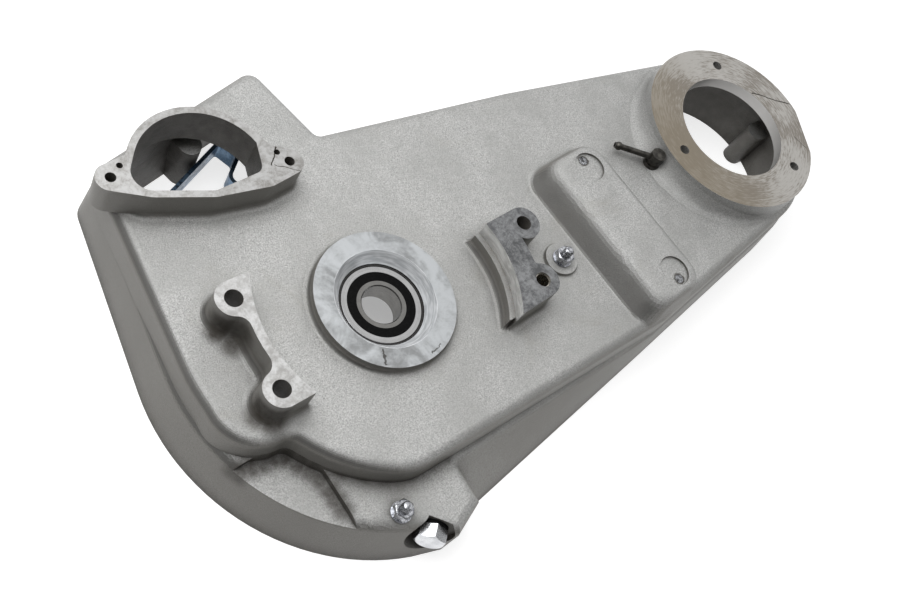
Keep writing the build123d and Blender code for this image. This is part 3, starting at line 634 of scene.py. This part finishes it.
finishes = {
    "housing": casting,
    "bearing_outer_ring": outer_steel,
    "bearing_inner_ring": inner_steel,
    "bearing_balls": ball_steel,
    "bearing_cage": cage_steel,
    "bearing_seal_outer": rubber,
    "bearing_seal_inner": rubber,
    "bearing_retaining_ring": spring_steel,
    "drain_plug": plug_zinc,
    "drain_plug_seal": rubber,
    "sump_stud": zinc,
    "sump_stud_nut": zinc,
    "face_stud": zinc,
    "face_stud_nut": zinc,
    "hose_fitting": dark_steel,
    "strap": strap_material(),
    "strap_screws": zinc,
    "tensioner_rack": rack_steel,
    "rack_screws": worn_steel,
    "thread_insert": insert_steel,
}
for name, material in finishes.items():
    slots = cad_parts[name].data.materials
    slots.clear()
    slots.append(material)


def piece(name, points, faces, material, body="housing"):
    """Small smooth mesh, its points in millimetres, that rides on a body."""
    mesh = bpy.data.meshes.new(name)
    mesh.from_pydata([[MM * v for v in point] for point in points], [], faces)
    mesh.polygons.foreach_set("use_smooth", [True] * len(mesh.polygons))
    mesh.materials.append(material)
    made = bpy.data.objects.new(name, mesh)
    bpy.context.scene.collection.objects.link(made)
    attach(made, body)
    return made


def grid_faces(rows, columns, closed):
    """Faces of a grid of points given row by row, closed round its columns or open."""
    faces = []
    for i in range(rows - 1):
        for j in range(columns if closed else columns - 1):
            here, beside = i * columns + j, i * columns + (j + 1) % columns
            faces.append((here, beside, beside + columns, here + columns))
    return faces


def foot_fillet(name, path, sizes, closed, steps=7):
    """Concave fillet between the main face and upright walls, along points and ways outward."""
    points = []
    for k in range(steps + 1):
        t = radians(foot_start + foot_turn * k / steps)
        for ((x, y), (nx, ny)), size in zip(path, sizes):
            away = size * (1 - sin(t)) - foot_sink[0]
            z = face_z + size * (1 - cos(t)) - foot_sink[1]
            points.append((x + nx * away, y + ny * away, z))
    faces = grid_faces(steps + 1, len(path), closed)
    return piece(name, points, faces, finishes["housing"])


def wall_feet():
    """Loops where upright walls stand on the main face, each of points and ways outward."""
    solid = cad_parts["housing"]
    places = [solid.matrix_world @ v.co / MM for v in solid.data.vertices]
    key = [(round(p.x, 2), round(p.y, 2)) for p in places]
    level, upright = set(), {}
    for face in solid.data.polygons:
        corners = face.vertices
        top = max(places[v].z for v in corners)
        for a, b in zip(corners, (*corners[1:], corners[0])):
            off_face = max(abs(places[a].z - face_z), abs(places[b].z - face_z)) > 0.02
            if off_face or key[a] == key[b]:
                continue
            edge = frozenset((key[a], key[b]))
            if face.normal.z > 0.99:
                level.add(edge)
            elif abs(face.normal.z) < 0.05 and top > face_z + 1:
                upright[edge] = (face.normal.x, face.normal.y)
    joined, normals = {}, {}
    for edge in level & upright.keys():
        for a, b in (tuple(edge), tuple(edge)[::-1]):
            joined.setdefault(a, []).append(b)
            normals.setdefault(a, []).append(upright[edge])
    loops, used = [], set()
    for start in joined:
        if start in used:
            continue
        loop, at = [], start
        while at is not None:
            used.add(at)
            nx, ny = (sum(n[i] for n in normals[at]) for i in (0, 1))
            length = hypot(nx, ny) or 1
            loop.append((at, (nx / length, ny / length)))
            at = next((b for b in joined[at] if b not in used), None)
        loops.append(loop)
    return loops


def threaded(name, replaced, place, low, high, radius, pitch, material):
    """Stud with a rolled thread and a turned-off end, in place of its plain solid."""
    turns, per_pitch = 28, 8
    rows = int((high - low) / pitch * per_pitch)
    points = []
    for i in range(rows + 1):
        z = low + (high - low) * i / rows
        for j in range(turns):
            angle = 2 * pi * j / turns
            phase = (z / pitch - j / turns) % 1
            depth = thread_depth * pitch * (1 - abs(2 * phase - 1)) * thread_left
            r = min(radius - depth, radius - stud_chamfer + max(high - z, 0))
            points.append((place[0] + r * cos(angle), place[1] + r * sin(angle), z))
    faces = grid_faces(rows + 1, turns, True)
    faces.append(tuple(range(turns))[::-1])
    faces.append(tuple(rows * turns + j for j in range(turns)))
    made = piece(name, points, faces, material)
    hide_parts(replaced)
    return made


# Fillets at the feet of the gearbox pads and of the crank ring
for i, loop in enumerate(wall_feet()):
    if len(loop) > shortest_loop:
        size = left_foot if loop[0][0][0] < 0 else right_foot
        foot_fillet(f"pad_foot_{i + 1}", loop, [size] * len(loop), True)
ring_path, ring_sizes = [], []
for i in range(ring_foot_steps + 1):
    angle = radians(ring_foot_start + ring_foot_turn * i / ring_foot_steps)
    out = (cos(angle), sin(angle))
    at = (crank_axis[0] + crank_ring_radius * out[0], crank_ring_radius * out[1])
    ring_path.append((at, out))
    ring_sizes.append(ring_foot[0] + ring_foot[1] * sin(pi * i / ring_foot_steps))
foot_fillet("crank_ring_foot", ring_path, ring_sizes, False)

# Threaded studs
for name, place, z, reach in (
    ("sump_stud", sump_stud_place, ledge_z, sump_stud_reach),
    ("face_stud", face_stud_place, face_z, face_stud_reach),
):
    low, high = (z + v for v in reach)
    threaded(f"{name}_thread", name, place, low, high, stud_radius, stud_pitch, zinc)


def floor_material():
    """White floor that takes the shadow, has a painted shadow round the place seen through the
    bearing, and can be looked through from below.
    """
    material = bpy.data.materials.new("studio_floor")
    material.use_nodes = True
    g = Nodes(material.node_tree)
    seen = g.rays("Is Camera Ray", "Is Glossy Ray", "Is Transmission Ray")
    place = g.nodes.new("ShaderNodeTexCoord").outputs["Object"]
    # Painted shadow: weaker glow round the place seen through the bearing
    away = g.vector("DISTANCE", place, tuple(MM * v for v in (*hub_shadow_place, 0)))
    low, high = (MM * v for v in hub_shadow_reach)
    glow = g.math("MULTIPLY", seen, g.ramp(away, low, high, *floor_glow, smooth=False))
    shader = g.nodes["Principled BSDF"]
    for socket, value in (
        ("Base Color", g.mix(seen, *floor_shades)),
        ("Emission Strength", glow),
        ("Emission Color", (1, 1, 1)),
        ("Roughness", 1.0),
        ("Specular IOR Level", 0.0),
    ):
        g.put(shader.inputs[socket], value)
    below = g.nodes.new("ShaderNodeMixShader")
    for socket, source in zip(below.inputs, (
        g.nodes.new("ShaderNodeNewGeometry").outputs["Backfacing"],
        shader.outputs[0],
        g.nodes.new("ShaderNodeBsdfTransparent").outputs[0],
    )):
        g.put(socket, source)
    g.put(g.nodes["Material Output"].inputs["Surface"], below.outputs[0])
    return material


# Floor under the gasket rim
mesh = bpy.data.meshes.new("studio_floor")
half = floor_size / 2
corners = [(-half, -half, 0), (half, -half, 0), (half, half, 0), (-half, half, 0)]
mesh.from_pydata(corners, [], [(0, 1, 2, 3)])
floor = bpy.data.objects.new("studio_floor", mesh)
bpy.context.scene.collection.objects.link(floor)
floor.location = (0.0, 0.0, cad_box[0].z - floor_gap)
floor.data.materials.append(floor_material())

# World, brighter overhead than at the horizon, and white behind the object
world = bpy.data.worlds.new("studio")
bpy.context.scene.world = world
world.use_nodes = True
sky = Nodes(world.node_tree)
direction = sky.nodes.new("ShaderNodeTexCoord").outputs["Generated"]
towards = sky.vector("DOT_PRODUCT", direction, world_up)
light, mirror = (sky.ramp(towards, *world_reach, *ends) for ends in (world_light, world_mirror))
strength = sky.blend(sky.rays("Is Glossy Ray"), light, mirror)
strength = sky.blend(sky.rays("Is Camera Ray", "Is Transmission Ray"), strength, world_seen)
sky.put(sky.nodes["Background"].inputs["Strength"], strength)
sky.put(sky.nodes["Background"].inputs["Color"], (1, 1, 1))

# Lamp
lamp_data = bpy.data.lights.new("key", "AREA")
lamp_data.shape = "RECTANGLE"
lamp_data.size = key_size
lamp_data.size_y = key_size
lamp_data.energy = key_power
lamp = bpy.data.objects.new("key", lamp_data)
bpy.context.scene.collection.objects.link(lamp)
lamp.location = key_place
lamp.rotation_euler = (Vector(key_target) - Vector(key_place)).to_track_quat("-Z", "Y").to_euler()

# Camera at the photograph's viewing angle
camera_data = bpy.data.cameras.new("camera")
camera_data.lens = camera_lens
camera_data.sensor_width = camera_sensor
camera = bpy.data.objects.new("camera", camera_data)
bpy.context.scene.collection.objects.link(camera)
camera.location = camera_place
camera.rotation_euler = [radians(v) for v in camera_turn]
bpy.context.scene.camera = camera
bpy.context.scene.view_settings.view_transform = "Standard"
